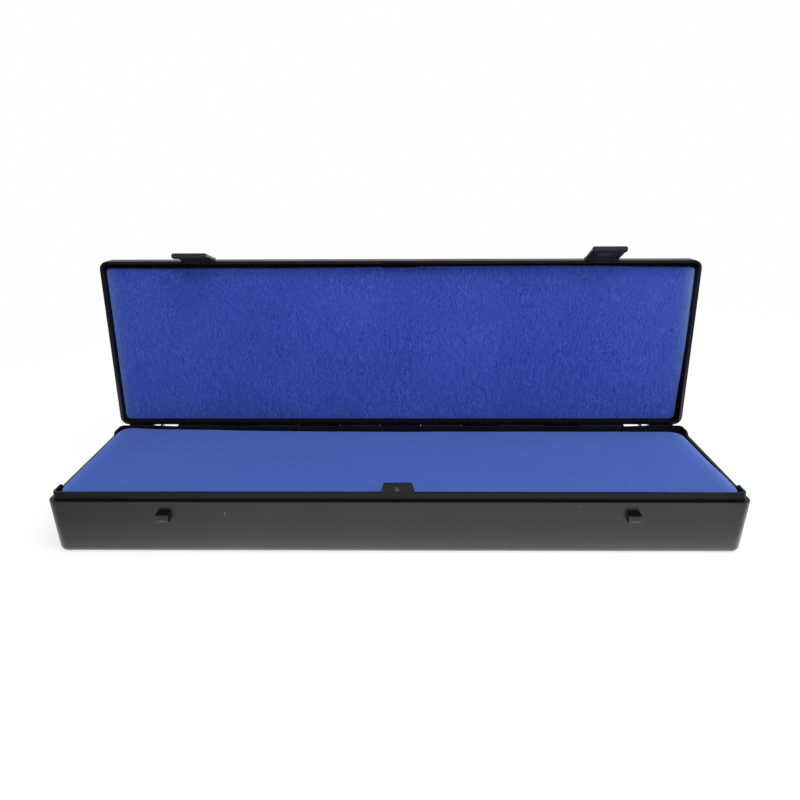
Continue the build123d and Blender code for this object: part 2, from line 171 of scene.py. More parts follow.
def seen_table(tree, place):
    """White round the case, with its shadow, and plain white farther out."""
    far = add_node(tree, "ShaderNodeVectorMath", {0: place}, operation="LENGTH")
    fade = add_node(
        tree, "ShaderNodeMapRange",
        {"Value": far.outputs["Value"], "From Min": FADE_FROM, "From Max": FADE_TO},
        interpolation_type="SMOOTHSTEP",
    )
    matt = add_node(tree, "ShaderNodeBsdfDiffuse", {"Color": linear(SHADOWED_WHITE)})
    glow = add_node(tree, "ShaderNodeEmission", {"Strength": TABLE_GLOW})
    near = add_node(tree, "ShaderNodeAddShader", {0: matt, 1: glow})
    plain = add_node(tree, "ShaderNodeEmission", {"Strength": 1.0})
    return add_node(tree, "ShaderNodeMixShader", {0: fade, 1: near, 2: plain})

# %% [markdown]
# ## The table that the plastic mirrors
# Black plastic shows its surroundings more than itself, so what it mirrors matters
# most. A studio would set white cards and black flags round the case. Here the
# same plane answers mirror finishes with a glow of its own, which is one material
# in place of many cards. It is brightest at the case's foot, half as bright and
# even from 3 to 10 centimetres in front of it, and a sixth as bright or less from
# 14 centimetres on. The front wall mirrors the bright stretch, and the lid's rim
# mirrors the dim one. Beside the case the light falls off sooner, and the left side
# is dimmer, since the key light stands on the right. Behind the case it stays
# bright, for the latches' sides.

# %% Table in a mirror finish
CASE_SIDE = 210 * MM
CASE_FRONT = -61.5 * MM
CASE_BACK = 61.5 * MM
FALL_ASIDE = 33 * MM
ASIDE_MOST = 40 * MM
DIM_FROM, DIM_TO = -90 * MM, -230 * MM
DIM_SHARE = 0.65
MIRRORED_NEAR = 2.6
MIRRORED_REACH = 250 * MM
MIRRORED_SHARES = ((0.0, 1.0), (0.05, 0.65), (0.13, 0.5), (0.42, 0.475), (0.54, 0.17), (1.0, 0.075))


def mirrored_distance(tree, parts):
    """How far off the light counts as being: ahead of the case, and more beside it."""
    whole = add_node(tree, "ShaderNodeMath", {0: parts["X"]}, operation="ABSOLUTE")
    aside = add_node(
        tree, "ShaderNodeMapRange",
        {"Value": whole, "From Min": CASE_SIDE, "From Max": CASE_SIDE + FALL_ASIDE},
        clamp=False,
    )
    aside = add_node(tree, "ShaderNodeMath", {0: aside, 1: 0.0}, operation="MAXIMUM")
    ahead = add_node(tree, "ShaderNodeMath", {0: CASE_FRONT, 1: parts["Y"]}, operation="SUBTRACT")
    either = add_node(tree, "ShaderNodeMath", {0: ahead}, operation="ABSOLUTE")
    either = add_node(tree, "ShaderNodeMath", {0: either, 1: ASIDE_MOST}, operation="MINIMUM")
    from_back = add_node(
        tree, "ShaderNodeMapRange",
        {
            "Value": parts["Y"],
            "From Min": CASE_BACK,
            "From Max": CASE_FRONT,
            "To Max": CASE_BACK - CASE_FRONT,
        },
    )
    either = add_node(tree, "ShaderNodeMath", {0: either, 1: from_back}, operation="MINIMUM")
    ahead = add_node(tree, "ShaderNodeMath", {0: ahead, 1: 0.0}, operation="MAXIMUM")
    sums = {0: aside, 1: either, 2: ahead}
    return add_node(tree, "ShaderNodeMath", sums, operation="MULTIPLY_ADD")


def mirrored_table(tree, place):
    """A glow that falls off with the distance from the case."""
    parts = add_node(tree, "ShaderNodeSeparateXYZ", {0: place}).outputs
    far = mirrored_distance(tree, parts)
    falls = add_node(tree, "ShaderNodeMapRange", {"Value": far, "From Max": MIRRORED_REACH})
    shares = add_node(tree, "ShaderNodeValToRGB", {"Fac": falls})
    steps = shares.color_ramp.elements
    while len(steps) < len(MIRRORED_SHARES):
        steps.new(0.5)
    for step, (position, share) in zip(steps, MIRRORED_SHARES):
        step.position = position
        step.color = (share, share, share, 1.0)
    level = add_node(
        tree, "ShaderNodeMapRange",
        {
            "Value": parts["X"],
            "From Min": DIM_FROM,
            "From Max": DIM_TO,
            "To Min": MIRRORED_NEAR,
            "To Max": DIM_SHARE * MIRRORED_NEAR,
        },
    )
    strength = add_node(tree, "ShaderNodeMath", {0: shares, 1: level}, operation="MULTIPLY")
    return add_node(tree, "ShaderNodeEmission", {"Strength": strength})

# %% [markdown]
# ## The table itself
# One large plane carries both answers. Soft light from it, which reaches the case from below, comes
# from a plain matt white. The table is no part of the case, so it is marked as a backdrop.

# %% Table
LIGHTING_WHITE = "#E6E6E6"

bpy.ops.mesh.primitive_plane_add(size=TABLE_SIZE)
table = bpy.context.object
table.name = "table"
material, tree, shader = new_material("white_laminate_table")
tree.nodes.remove(shader)
place = add_node(tree, "ShaderNodeTexCoord").outputs["Object"]
glossy, straight = ray_kinds(tree)
seen, mirrored = seen_table(tree, place), mirrored_table(tree, place)
matt = add_node(tree, "ShaderNodeBsdfDiffuse", {"Color": linear(LIGHTING_WHITE)})
surface = add_node(tree, "ShaderNodeMixShader", {0: straight, 1: matt, 2: seen})
surface = add_node(tree, "ShaderNodeMixShader", {0: glossy, 1: surface, 2: mirrored})
tree.links.new(surface.outputs[0], tree.nodes["Material Output"].inputs["Surface"])
table.data.materials.append(material)
table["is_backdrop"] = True
print("table", TABLE_SIZE, "m wide")

# %% [markdown]
# ## Room
# The room is plain and dim, so that the shade in the lid and round the pads stays
# dark. A picture of a studio could light it, but a plain level keeps all that the
# light does in two lamps and one table. It is a little brighter in a mirror finish,
# and white behind the case.

# %% Room
ROOM_LIGHT = 0.38
ROOM_MIRRORED = 0.53

world = bpy.data.worlds.new("studio")
world.use_nodes = True
bpy.context.scene.world = world
tree = world.node_tree
glossy, straight = ray_kinds(tree)
level = add_node(
    tree, "ShaderNodeMapRange", {"Value": glossy, "To Min": ROOM_LIGHT, "To Max": ROOM_MIRRORED}
)
level = add_node(tree, "ShaderNodeMapRange", {"Value": straight, "To Min": level, "To Max": 1.0})
room = tree.nodes["Background"]
room.inputs["Color"].default_value = (1, 1, 1, 1)
tree.links.new(level.outputs[0], room.inputs["Strength"])
print("room light", ROOM_LIGHT, "and in a mirror finish", ROOM_MIRRORED)

# %% [markdown]
# ## Softboxes
# A wide key light stands high in front on the right, so the latches leave only a
# soft shade on the foam below them. A weaker one hangs above. Mirror finishes don't
# see them, since the table and the room already give them what they show.

# %% Softboxes
SOFTBOXES = {
    "key_softbox": {"place": (0.58, -0.85, 1.16), "size": (1.8, 1.4), "power": 20.8},
    "overhead_softbox": {"place": (0.45, 0.15, 1.25), "size": (1.2, 0.9), "power": 4.5},
}
LIT_POINT = Vector((0, 0.02, 0.05))

for name, box in SOFTBOXES.items():
    bpy.ops.object.light_add(type="AREA", location=box["place"])
    lamp = bpy.context.object
    lamp.name = name
    lamp.data.shape = "RECTANGLE"
    lamp.data.size, lamp.data.size_y = box["size"]
    lamp.data.energy = box["power"]
    lamp.visible_glossy = False
    lamp.rotation_euler = (LIT_POINT - lamp.location).to_track_quat("-Z", "Y").to_euler()
print("softboxes:", ", ".join(SOFTBOXES))

# %% [markdown]
# ## Marks and dull places
# Three short pale nicks mark the front wall, and the tab's pip is rubbed paler. The hooks' lower
# edges carry a painted highlight: a pale line where their rounded edge mirrors the bright table.
# The lip and the ledge are a little duller than the walls, and the hollows have the matt grain that
# a tool's core side is left with. All of that could be painted on. A test of the object coordinates
# is enough here: a small ellipsoid for each mark, and a box for each dull place.

# %% Marks and finishes
# The pale of the nicks and the pip, and of the painted highlights on the hooks.
MARK_AND_HIGHLIGHT_PALE = "#7A7776"
MARK_CORE = 0.2
MARKS_AND_HIGHLIGHTS_MM = (
    {"centre": (-103.5, -61.0, 27.0), "reach": (0.4, 8.0, 1.7), "pale": 0.8},
    {"centre": (-142.4, -60.2, 12.5), "reach": (0.4, 8.0, 0.9), "pale": 0.35},
    {"centre": (107.5, -61.3, 32.2), "reach": (0.5, 8.0, 0.7), "pale": 0.6},
    {"centre": (-0.6, -59.2, 42.1), "reach": (1.9, 3.0, 1.7), "pale": 0.45},
    # Painted highlights: a pale line on each hook's lower edge, where it mirrors the bright table.
    {"centre": (-140.3, -65.8, 24.4), "reach": (4.8, 1.0, 0.7), "pale": 0.45},
    {"centre": (140.3, -65.8, 24.4), "reach": (4.8, 1.0, 0.7), "pale": 0.45},
)
FINISHES_MM = (
    {"low": (-212.0, -62.0, 34.95), "high": (212.0, 59.5, 52.0), "dull": 0.36, "mirror": 0.3},
    {"low": (-206.0, -57.4, 0.5), "high": (206.0, 57.4, 39.6), "dull": 0.6, "mirror": 0.15},
    {"low": (-207.75, 60.0, 39.3), "high": (207.75, 75.0, 158.2), "dull": 0.6, "mirror": 0.15},
)


def from_centre(tree, place, centre, reach):
    """The place as seen from a centre, with each axis in shares of its reach."""
    offset = add_node(tree, "ShaderNodeVectorMath", {0: place, 1: centre}, operation="SUBTRACT")
    return add_node(tree, "ShaderNodeVectorMath", {0: offset, 1: reach}, operation="DIVIDE")


def in_spot(tree, place, centre, reach, pale):
    """How pale a small rounded spot is here; it may be longer one way than another."""
    share = from_centre(tree, place, Vector(centre) * MM, Vector(reach) * MM)
    far = add_node(tree, "ShaderNodeVectorMath", {0: share}, operation="LENGTH")
    return add_node(
        tree, "ShaderNodeMapRange",
        {"Value": far.outputs["Value"], "From Min": 1.0, "From Max": MARK_CORE, "To Max": pale},
    )


def in_box(tree, place, low, high):
    """1 inside a box and 0 outside it."""
    low, high = Vector(low) * MM, Vector(high) * MM
    share = from_centre(tree, place, (low + high) / 2, (high - low) / 2)
    whole = add_node(tree, "ShaderNodeVectorMath", {0: share}, operation="ABSOLUTE")
    parts = add_node(tree, "ShaderNodeSeparateXYZ", {0: whole}).outputs
    widest = parts["X"]
    for part in ("Y", "Z"):
        widest = add_node(
            tree, "ShaderNodeMath", {0: widest, 1: parts[part]}, operation="MAXIMUM"
        )
    return add_node(tree, "ShaderNodeMath", {0: widest, 1: 1.0}, operation="LESS_THAN")

# %% [markdown]
# ## How a moulded surface looks
# Tray and lid were injection moulded in a polished tool. What the eye sees is the
# room mirrored softly in them: a fine orange peel from the tool, shallow sink
# waves, and hand smudges that dull the plastic in patches. The peel could be
# modelled, but at a hundredth of a millimetre a bump shows the same. Each pattern
# is noise at a real size in millimetres, which needs no unwrapping as a painted
# texture would. Most of a noise lies between its low and its high value here.

# %% Moulded surface
PEEL_MM = 1.4
PEEL_DEPTH = 0.012 * MM
SINK_MM = 55.0
SINK_DEPTH = 0.05 * MM
SMUDGE_MM = 32.0
SMUDGE_SHINIER, SMUDGE_DULLER = 0.04, 0.05
NOISE_LOW, NOISE_HIGH = 0.35, 0.65
SIDE_FROM, SIDE_TO = 0.8, 0.95


def per_mm(size):
    """Texture scale at which one wave or cell of a pattern is this many mm."""
    return 1 / (size * MM)


def moulded_relief(tree, place):
    """A fine orange peel on broad, shallow sink waves."""
    sink = add_node(
        tree, "ShaderNodeTexNoise", {"Vector": place, "Scale": per_mm(SINK_MM), "Detail": 1.0}
    )
    peel = add_node(
        tree, "ShaderNodeTexNoise", {"Vector": place, "Scale": per_mm(PEEL_MM), "Detail": 2.0}
    )
    wavy = add_node(tree, "ShaderNodeBump", {"Height": sink, "Distance": SINK_DEPTH})
    return add_node(
        tree, "ShaderNodeBump", {"Height": peel, "Distance": PEEL_DEPTH, "Normal": wavy}
    )


def dullness(tree, place, roughness):
    """The plastic's roughness, which hand smudges raise in patches."""
    smudge = add_node(
        tree, "ShaderNodeTexNoise", {"Vector": place, "Scale": per_mm(SMUDGE_MM), "Detail": 4.0}
    )
    return add_node(
        tree, "ShaderNodeMapRange",
        {
            "Value": smudge,
            "From Min": NOISE_LOW,
            "From Max": NOISE_HIGH,
            "To Min": roughness - SMUDGE_SHINIER,
            "To Max": roughness + SMUDGE_DULLER,
        },
    )


def mirror_by_side(tree, normal, mirror_level, side_mirror):
    """One mirror level all over, and another on faces square to X."""
    turned = add_node(tree, "ShaderNodeSeparateXYZ", {0: normal}).outputs["X"]
    turned = add_node(tree, "ShaderNodeMath", {0: turned}, operation="ABSOLUTE")
    return add_node(
        tree, "ShaderNodeMapRange",
        {
            "Value": turned,
            "From Min": SIDE_FROM,
            "From Max": SIDE_TO,
            "To Min": mirror_level,
            "To Max": side_mirror,
        },
    )

# %% [markdown]
# ## Black moulded plastic
# Tray and lid are ABS, nearly black in itself, and the latches are satin acetal,
# with sides that rub on the lid and shine. The marks and the dull places could be
# materials of their own on cut-out faces, but as steps in one material they leave
# the solids alone. Both plastics come from one function. A Mix node keeps its two
# colours at inputs 6 and 7 and their mix at output 2, so those places get names.

# %% Moulded plastic
PLASTIC_IOR = 1.54
MIX_A, MIX_B, MIX_COLOUR = 6, 7, 2


def marked_colour(tree, place, colour):
    """The plastic's colour, paler at each mark."""
    tint = linear(colour)
    for mark in MARKS_AND_HIGHLIGHTS_MM:
        pale = in_spot(tree, place, **mark)
        inputs = {0: pale, MIX_A: tint, MIX_B: linear(MARK_AND_HIGHLIGHT_PALE)}
        tint = add_node(tree, "ShaderNodeMix", inputs, data_type="RGBA").outputs[MIX_COLOUR]
    return tint


def moulded_plastic(name, colour, roughness, mirror_level, side_mirror):
    """Polished black plastic with peel, smudges, pale marks and matt inner walls."""
    material, tree, shader = new_material(name)
    coordinates = add_node(tree, "ShaderNodeTexCoord").outputs
    place = coordinates["Object"]
    dull = dullness(tree, place, roughness)
    mirror = mirror_by_side(tree, coordinates["Normal"], mirror_level, side_mirror)
    for finish in FINISHES_MM:
        inside = in_box(tree, place, finish["low"], finish["high"])
        dull = add_node(
            tree, "ShaderNodeMapRange", {"Value": inside, "To Min": dull, "To Max": finish["dull"]}
        )
        mirror = add_node(
            tree, "ShaderNodeMapRange",
            {"Value": inside, "To Min": mirror, "To Max": finish["mirror"]},
        )
    tree.links.new(marked_colour(tree, place, colour), shader.inputs["Base Color"])
    tree.links.new(dull.outputs[0], shader.inputs["Roughness"])
    tree.links.new(mirror.outputs[0], shader.inputs["Specular IOR Level"])
    tree.links.new(moulded_relief(tree, place).outputs[0], shader.inputs["Normal"])
    shader.inputs["IOR"].default_value = PLASTIC_IOR
    return material


def dress(names, material):
    """Puts a material on solid pieces."""
    for name in names:
        nodes[name].material_slots[0].material = material
    print(material.name, "on", ", ".join(names))


ABS_BLACK = "#09090A"
ACETAL_BLACK = "#2A2A2B"
black_abs = moulded_plastic(
    "polished_black_abs", ABS_BLACK, roughness=0.30, mirror_level=0.5, side_mirror=0.5
)
black_acetal = moulded_plastic(
    "satin_black_acetal", ACETAL_BLACK, roughness=0.5, mirror_level=0.12, side_mirror=0.6
)
dress(("base_tray", "lid_shell"), black_abs)
dress(("latch_left", "latch_right"), black_acetal)

# %% [markdown]
# ## Steel pins
# The hinge and the latches turn on drawn steel wire. Drawing pulls fine lines along
# the wire, so its roughness changes round it and hardly along it. An anisotropic
# shader could do that too, but noise stretched along X is plainer, and enough for
# the millimetre or two that show. The real lines are finer than a tenth of a
# millimetre, and are drawn about that coarse so that they show at all.

# %% Drawn steel
STEEL = "#C6C3BE"
WIRE_LINE_MM = (30.0, 0.12, 0.12)
WIRE_SHINIEST, WIRE_DULLEST = 0.22, 0.42

steel, tree, shader = new_material("drawn_steel_wire")
place = add_node(tree, "ShaderNodeTexCoord").outputs["Object"]
along = add_node(
    tree, "ShaderNodeMapping",
    {"Vector": place, "Scale": [per_mm(size) for size in WIRE_LINE_MM]},
)
lines = add_node(tree, "ShaderNodeTexNoise", {"Vector": along, "Scale": 1.0, "Detail": 3.0})
shine = add_node(
    tree, "ShaderNodeMapRange", {"Value": lines, "To Min": WIRE_SHINIEST, "To Max": WIRE_DULLEST}
)
tree.links.new(shine.outputs[0], shader.inputs["Roughness"])
shader.inputs["Base Color"].default_value = linear(STEEL)
shader.inputs["Metallic"].default_value = 1.0
dress(("hinge_pin", "latch_pin_left", "latch_pin_right"), steel)

# %% [markdown]
# ## Adhesive film
# Each pad is stuck down with a sheet of double-sided film, a cloudy cream acrylic.
# It only shows at a pad's edge when the pad is lifted, so bubbles and fibres would
# be lost on it, and a soft cloudiness is all that it needs.

# %% Adhesive film
FILM_CREAM, FILM_PALE = "#CFC8B4", "#E4DFD0"
FILM_CLOUD_MM = 9.0
FILM_ROUGHNESS = 0.45

film, tree, shader = new_material("acrylic_adhesive_film")
place = add_node(tree, "ShaderNodeTexCoord").outputs["Object"]
cloud = add_node(
    tree, "ShaderNodeTexNoise", {"Vector": place, "Scale": per_mm(FILM_CLOUD_MM), "Detail": 5.0}
)
creams = {0: cloud, MIX_A: linear(FILM_CREAM), MIX_B: linear(FILM_PALE)}
cream = add_node(tree, "ShaderNodeMix", creams, data_type="RGBA")
tree.links.new(cream.outputs[MIX_COLOUR], shader.inputs["Base Color"])
shader.inputs["Roughness"].default_value = FILM_ROUGHNESS
dress(("base_foam_adhesive", "lid_foam_adhesive"), film)

# %% [markdown]
# ## The face of sliced foam
# The pads are open-cell polyurethane foam, sliced from a block. A knife leaves the
# cells open, so the face is pitted, with pores about a millimetre wide and patches
# about two millimetres wide where the cells are denser. Slicing also drags the face
# one way, which leaves short streaks along the pad's depth. Pores cut as real holes
# would cost millions of triangles, so one pattern of noise and cells stands for
# them, and the material uses it for both colour and bump.

# %% Foam pattern
DRAG = (1.0, 0.55, 0.55)
PORE_MM = 1.2
PORE_NEAR, PORE_FAR = 0.15, 0.75
PATCH_MM = 1.8
PATCH_ROUGHNESS = 0.6
STREAK_MM = (1.2, 3.4, 3.4)
STREAK_SHARE = 2.0
CLOUD_MM = 60.0
MOTTLE_LOW, MOTTLE_HIGH = 1.55, 2.45


def foam_cells(tree, place, grain):
    """Above 0 where the cells are dense and below 0 where they are open."""
    patches = add_node(
        tree, "ShaderNodeTexNoise",
        {
            "Vector": grain,
            "Scale": per_mm(PATCH_MM),
            "Detail": 3.0,
            "Roughness": PATCH_ROUGHNESS,
        },
    )
    dragged = add_node(
        tree, "ShaderNodeMapping",
        {"Vector": grain, "Scale": [per_mm(size) for size in STREAK_MM]},
    )
    streaks = add_node(
        tree, "ShaderNodeTexNoise", {"Vector": dragged, "Scale": 1.0, "Detail": 2.0}
    )
    clouds = add_node(
        tree, "ShaderNodeTexNoise", {"Vector": place, "Scale": per_mm(CLOUD_MM), "Detail": 1.0}
    )
    sums = {0: streaks, 1: STREAK_SHARE, 2: patches}
    mottle = add_node(tree, "ShaderNodeMath", sums, operation="MULTIPLY_ADD")
    mottle = add_node(tree, "ShaderNodeMath", {0: mottle, 1: clouds}, operation="ADD")
    return add_node(
        tree, "ShaderNodeMapRange",
        {
            "Value": mottle,
            "From Min": MOTTLE_LOW,
            "From Max": MOTTLE_HIGH,
            "To Min": -1.0,
            "To Max": 1.0,
        },
    )


def foam_pores(tree, grain):
    """Below 0 in a pore's middle and above 0 between pores."""
    pores = add_node(tree, "ShaderNodeTexVoronoi", {"Vector": grain, "Scale": per_mm(PORE_MM)})
    return add_node(
        tree, "ShaderNodeMapRange",
        {
            "Value": pores,
            "From Min": PORE_NEAR,
            "From Max": PORE_FAR,
            "To Min": -1.0,
            "To Max": 1.0,
        },
    )

# %% [markdown]
# ## Blue foam
# The foam is dull, with a faint sheen from the loose cell walls that stand up from its face. Its
# pores are a deeper blue than its walls, and some stretches are busier than others. The tray's pad
# was sliced cleanly and looks even; the lid's is rougher and shows more, which is one number here.
# The short ends are painted paler: a painted sheen for the light that their rounded edges catch,
# which on the lid's pad also lifts the shade near its lower corners. That needs a value along the
# ends that no pattern knows, so each pad carries it as an attribute of its points.

# %% Foam material
# A pale blue for the painted sheen along the pads' short ends.
PAINTED_SHEEN_BLUE = "#7E9CDC"
BUSY_MM = 15.0
CALM, BUSY = 0.7, 1.3
PIT_DEPTH = 0.35 * MM
PIT_STRENGTH = 0.6
FOAM_SHADER = {
    "Roughness": 0.95,
    "IOR": 1.25,
    "Sheen Weight": 0.30,
    "Sheen Roughness": 0.55,
    "Sheen Tint": linear("#A8DCE2"),
}


def sliced_foam(name, blue, pore, contrast):
    """Blue foam between two blues, for cell walls and for pores."""
    material, tree, shader = new_material(name)
    place = add_node(tree, "ShaderNodeTexCoord").outputs["Object"]
    grain = add_node(tree, "ShaderNodeMapping", {"Vector": place, "Scale": DRAG})
    pattern = {0: foam_cells(tree, place, grain), 1: foam_pores(tree, grain)}
    pattern = add_node(tree, "ShaderNodeMath", pattern, operation="ADD")
    busier = add_node(
        tree, "ShaderNodeTexNoise", {"Vector": place, "Scale": per_mm(BUSY_MM), "Detail": 2.0}
    )
    busy = add_node(
        tree, "ShaderNodeMapRange",
        {
            "Value": busier,
            "From Min": NOISE_LOW,
            "From Max": NOISE_HIGH,
            "To Min": CALM * contrast,
            "To Max": BUSY * contrast,
        },
    )
    share = add_node(
        tree, "ShaderNodeMath", {0: pattern, 1: busy, 2: 0.5},
        operation="MULTIPLY_ADD", use_clamp=True,
    )
    blues = {0: share, MIX_A: linear(pore), MIX_B: linear(blue)}
    colour = add_node(tree, "ShaderNodeMix", blues, data_type="RGBA").outputs[MIX_COLOUR]
    # Painted sheen: the short ends are mixed toward a pale blue by a value that each point stores.
    edge = add_node(tree, "ShaderNodeAttribute", attribute_name="pad_edge_sheen").outputs["Fac"]
    blues = {0: edge, MIX_A: colour, MIX_B: linear(PAINTED_SHEEN_BLUE)}
    colour = add_node(tree, "ShaderNodeMix", blues, data_type="RGBA").outputs[MIX_COLOUR]
    pits = add_node(
        tree, "ShaderNodeBump", {"Height": share, "Distance": PIT_DEPTH, "Strength": PIT_STRENGTH}
    )
    tree.links.new(colour, shader.inputs["Base Color"])
    tree.links.new(pits.outputs[0], shader.inputs["Normal"])
    for socket, value in FOAM_SHADER.items():
        shader.inputs[socket].default_value = value
    return material


even_foam = sliced_foam("cleanly_sliced_blue_foam", "#435CB5", "#2A3D98", contrast=0.11)
rough_foam = sliced_foam("roughly_sliced_blue_foam", "#4156B8", "#263899", contrast=0.27)
print("foams:", even_foam.name, "and", rough_foam.name)

# %% [markdown]
# ## A slab of foam
# Both pads start the same way: a block at the pad's size, its upright corners and
# its upper edge rounded with bevels, and its sides leaned to the shell's draft. It
# is then cut into a grid of small faces with bisects, so that it can be pressed and
# bent like the soft thing it is. A cloth simulation would blow the slab up like a
# cushion, which cut foam never is, so the moves are made on the grid instead.

# %% Slab helpers
GRID = 3.5 * MM
CORNER_SEGMENTS = 7
EDGE_SEGMENTS = 5


def bevel_edges(slab, wanted, radius, segments):
    """Rounds the edges whose two ends together pass a test."""
    bpy.ops.object.mode_set(mode="EDIT")
    bpy.ops.mesh.select_mode(type="EDGE")
    bpy.ops.mesh.select_all(action="DESELECT")
    bpy.ops.object.mode_set(mode="OBJECT")
    points = slab.data.vertices
    for edge in slab.data.edges:
        ends = [points[index].co for index in edge.vertices]
        edge.select = wanted(*ends)
    bpy.ops.object.mode_set(mode="EDIT")
    bpy.ops.mesh.bevel(offset=radius, segments=segments, affect="EDGES")
    bpy.ops.object.mode_set(mode="OBJECT")


def cut_grid(low, high):
    """Cuts the active slab by planes square to X and to Y."""
    bpy.ops.object.mode_set(mode="EDIT")
    for axis in (0, 1):
        normal = [0.0, 0.0, 0.0]
        normal[axis] = 1.0
        cuts = int((high[axis] - low[axis]) / GRID)
        for index in range(1, cuts):
            point = [0.0, 0.0, 0.0]
            point[axis] = low[axis] + (high[axis] - low[axis]) * index / cuts
            bpy.ops.mesh.select_all(action="SELECT")
            bpy.ops.mesh.bisect(plane_co=point, plane_no=normal)
    bpy.ops.object.mode_set(mode="OBJECT")


def foam_slab(name, low, high, lean, corners, round_edge):
    """A closed slab with its own corner radius at -Y and at +Y, and leaning sides."""
    bpy.ops.object.select_all(action="DESELECT")
    centre = (low + high) / 2
    bpy.ops.mesh.primitive_cube_add(size=1, location=centre, scale=high - low)
    slab = bpy.context.object
    slab.name = name
    bpy.ops.object.transform_apply(location=True, rotation=True, scale=True)
    for side, radius in zip((-1, 1), corners):
        bevel_edges(
            slab,
            lambda a, b: abs(a.z - b.z) > MM and (a.y - centre.y) * side > 0,
            radius,
            CORNER_SEGMENTS,
        )
    bevel_edges(slab, lambda a, b: min(a.z, b.z) > centre.z, round_edge, EDGE_SEGMENTS)
    depth = high.z - low.z
    for point in slab.data.vertices:
        drop = (high.z - point.co.z) / depth * lean
        point.co.x -= drop * (1 if point.co.x > centre.x else -1)
        point.co.y -= drop * (1 if point.co.y > centre.y else -1)
    cut_grid(low, high)
    print(name, len(slab.data.vertices), "points")
    return slab

# %% [markdown]
# ## Moves for soft foam
# The same few moves serve both pads: a ripple over the upper face, a stored value for how pale the
# painted sheen along the short ends is, and the last steps that put the pad in place of its plain
# solid. A sculpted pad would look as soft, but a move written as a few lines can be read and
# changed.

# %% Moves for soft foam
PAINTED_SHEEN_WIDTH = 2.6 * MM
RIPPLE_DEPTH = 2 * MM
FOAM_CREASE = 40


def ramp(value, start, end):
    """0 before start and 1 after end, with a smooth turn at both."""
    share = min(max((value - start) / (end - start), 0.0), 1.0)
    return share * share * (3 - 2 * share)


def ripple(slab, high, height, size):
    """Lets the upper face rise and fall softly, as a displace modifier does it."""
    cloud = bpy.data.textures.new(slab.name + "_ripple", "CLOUDS")
    cloud.noise_scale = size
    face = slab.vertex_groups.new(name="face")
    raised = [point.index for point in slab.data.vertices if point.co.z > high.z - RIPPLE_DEPTH]
    face.add(raised, 1.0, "REPLACE")
    lift = slab.modifiers.new("ripple", "DISPLACE")
    lift.texture = cloud
    lift.texture_coords = "LOCAL"
    lift.direction = "Z"
    lift.strength = height
    lift.mid_level = 0.5
    lift.vertex_group = "face"
    bpy.ops.object.modifier_apply(modifier="ripple")


def paint_end_sheen(slab, low, high, left, right, growing=None):
    """Stores how pale each point is: a painted sheen along a pad's short ends, where their rounded
    edges catch the light. The right end may grow paler from one y to another."""
    values = []
    for point in slab.data.vertices:
        from_left = max(point.co.x - low.x, 0.0)
        from_right = max(high.x - point.co.x, 0.0)
        grown = ramp(point.co.y, *growing) if growing else 1.0
        pale = left * exp(-from_left / PAINTED_SHEEN_WIDTH) + right * grown * exp(-from_right / PAINTED_SHEEN_WIDTH)
        values.append(pale)
    rim = slab.data.attributes.new("pad_edge_sheen", "FLOAT", "POINT")
    rim.data.foreach_set("value", values)


def select_only(slab):
    """Makes a slab the one selected and active object."""
    bpy.ops.object.select_all(action="DESELECT")
    slab.select_set(True)
    bpy.context.view_layer.objects.active = slab


def finish_pad(slab, node, body, foam):
    """Smooths and paints a pad, hangs it on its body and hides its plain solid."""
    select_only(slab)
    bpy.ops.object.shade_smooth_by_angle(angle=radians(FOAM_CREASE))
    slab.data.materials.append(foam)
    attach(slab, body)
    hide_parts(node)

# %% [markdown]
# ## Tray pad
# The deep pad fills the tray and stands a little above its ledge. It was cut by
# hand: it rides up against the low lip on the left, most of all at the back corner,
# and at the front of the right end. Along the hinge it lies a little low on the
# right.

# %% Tray pad
TRAY_PAD_LEAN = 0.59 * MM
TRAY_PAD_CORNERS = (10.5 * MM, 10 * MM)
TRAY_PAD_ROUND = 1.6 * MM
TRAY_RIPPLE, TRAY_RIPPLE_SIZE = 0.7 * MM, 45 * MM
TRAY_FACE_DEPTH = 3 * MM
LEFT_WIDTH, RIGHT_WIDTH, BACK_WIDTH = 30 * MM, 14 * MM, 45 * MM
FRONT_FROM, FRONT_MARGIN = -10 * MM, 20 * MM
FAR_LEFT_FROM = 40 * MM
LEFT_RISE_MM = 2.0
FRONT_RIGHT_RISE_MM = 1.5
BACK_RISE_MM = 1.6
BACK_CORNER_RISE_MM = 0.6
BACK_SINK_MM = 0.6

tray_low, tray_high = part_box("base_foam")
tray_pad = foam_slab(
    "tray_pad", tray_low, tray_high, TRAY_PAD_LEAN, TRAY_PAD_CORNERS, TRAY_PAD_ROUND
)
# Painted sheen along the pad's short ends, stronger on the right.
paint_end_sheen(tray_pad, tray_low, tray_high, left=0.35, right=0.75)
ripple(tray_pad, tray_high, TRAY_RIPPLE, TRAY_RIPPLE_SIZE)
half_x, half_y = tray_high.x, tray_high.y
for point in tray_pad.data.vertices:
    if point.co.z < tray_high.z - TRAY_FACE_DEPTH:
        continue
    left = ramp(-point.co.x, half_x - LEFT_WIDTH, half_x)
    right = ramp(point.co.x, half_x - RIGHT_WIDTH, half_x)
    front = ramp(-point.co.y, FRONT_FROM, half_y - FRONT_MARGIN)
    back = ramp(point.co.y, half_y - BACK_WIDTH, half_y)
    far_left = ramp(-point.co.x, FAR_LEFT_FROM, half_x)
    raised = LEFT_RISE_MM * left + FRONT_RIGHT_RISE_MM * right * front
    raised += back * (
        BACK_RISE_MM * far_left * (1 - left)
        + BACK_CORNER_RISE_MM * left
        - BACK_SINK_MM * (1 - far_left)
    )
    point.co.z += raised * MM
finish_pad(tray_pad, "base_foam", "tray", even_foam)
top = max(point.co.z for point in tray_pad.data.vertices)
print("tray pad top", round(top / MM, 2), "mm")

